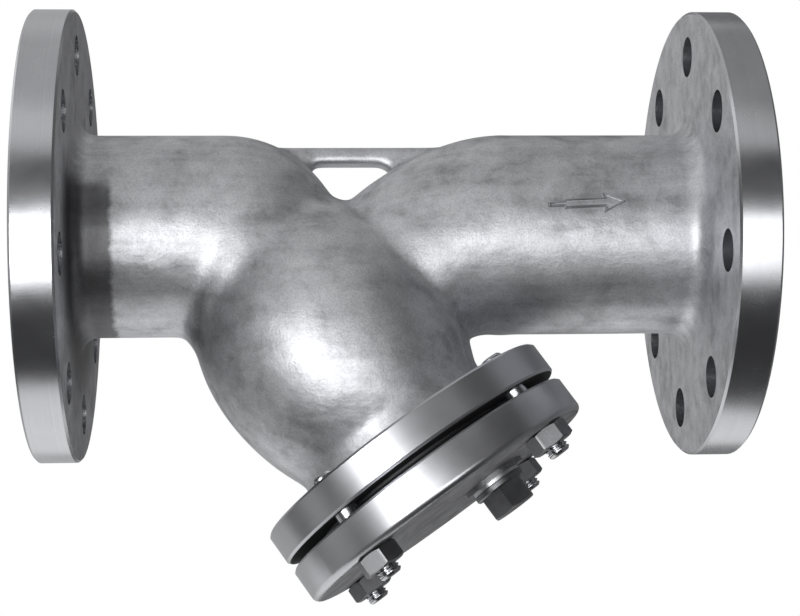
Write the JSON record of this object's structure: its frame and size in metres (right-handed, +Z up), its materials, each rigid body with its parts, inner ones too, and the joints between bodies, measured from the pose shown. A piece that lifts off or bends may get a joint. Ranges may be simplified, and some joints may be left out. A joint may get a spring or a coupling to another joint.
{
  "type": "flanged y strainer",
  "caption": "Cast stainless Y-shaped dirt strainer with flanged pipe ends, a bolted round cover on the slanted branch and a perforated screen inside.",
  "frame": {"origin": "centre of the inlet flange's sealing face, on the pipe axis", "axes": "+X along the pipe in the direction of flow, +Z up, -Y towards the side with the flow arrow; the branch slants from the pipe axis down and towards +X in the XZ plane"},
  "size_m": [0.31, 0.2, 0.2622],
  "materials": {
    "cast_body": "satin cast and machined stainless steel",
    "cast_cover": "satin cast stainless steel",
    "gasket": "matt graphite sheet",
    "stud": "bright stainless thread",
    "nut": "dark satin stainless steel",
    "plug": "dark satin stainless steel",
    "plug_seal": "soft metal ring",
    "screen": "bright perforated sheet"
  },
  "bodies": {
    "root": {"strainer_body": "cast_body", "cover_stud_1": "stud", "cover_stud_2": "stud", "cover_stud_3": "stud", "cover_stud_4": "stud"},
    "cover": {"bonnet_cover": "cast_cover", "drain_plug_seal": "plug_seal"},
    "gasket": {"cover_gasket": "gasket"},
    "screen": {"screen_basket": "screen", "screen_top_ring": "screen", "screen_base_ring": "screen"},
    "plug": {"drain_plug": "plug"},
    "nut_1": {"cover_nut_1": "nut"},
    "nut_2": {"cover_nut_2": "nut"},
    "nut_3": {"cover_nut_3": "nut"},
    "nut_4": {"cover_nut_4": "nut"}
  },
  "joints": [
    {"name": "cover_lift_off", "type": "slide", "parent": "root", "child": "cover", "axis": [0.5664, 0, -0.8241], "range_m": [0, 0.3]},
    {"name": "gasket_lift_off", "type": "slide", "parent": "root", "child": "gasket", "axis": [0.5664, 0, -0.8241], "range_m": [0, 0.24]},
    {"name": "screen_draw_out", "type": "slide", "parent": "root", "child": "screen", "axis": [0.5664, 0, -0.8241], "range_m": [0, 0.16]},
    {"name": "plug_unscrew", "type": "slide", "parent": "cover", "child": "plug", "axis": [0.5664, 0, -0.8241], "range_m": [0, 0.04]},
    {"name": "nut_1_unscrew", "type": "slide", "parent": "cover", "child": "nut_1", "axis": [0.5664, 0, -0.8241], "range_m": [0, 0.025]},
    {"name": "nut_2_unscrew", "type": "slide", "parent": "cover", "child": "nut_2", "axis": [0.5664, 0, -0.8241], "range_m": [0, 0.025]},
    {"name": "nut_3_unscrew", "type": "slide", "parent": "cover", "child": "nut_3", "axis": [0.5664, 0, -0.8241], "range_m": [0, 0.025]},
    {"name": "nut_4_unscrew", "type": "slide", "parent": "cover", "child": "nut_4", "axis": [0.5664, 0, -0.8241], "range_m": [0, 0.025]}
  ],
  "couplings": [
    {"joint": "gasket_lift_off", "follows": "cover_lift_off", "ratio": 0.75},
    {"joint": "screen_draw_out", "follows": "cover_lift_off", "ratio": 0.5}
  ]
}
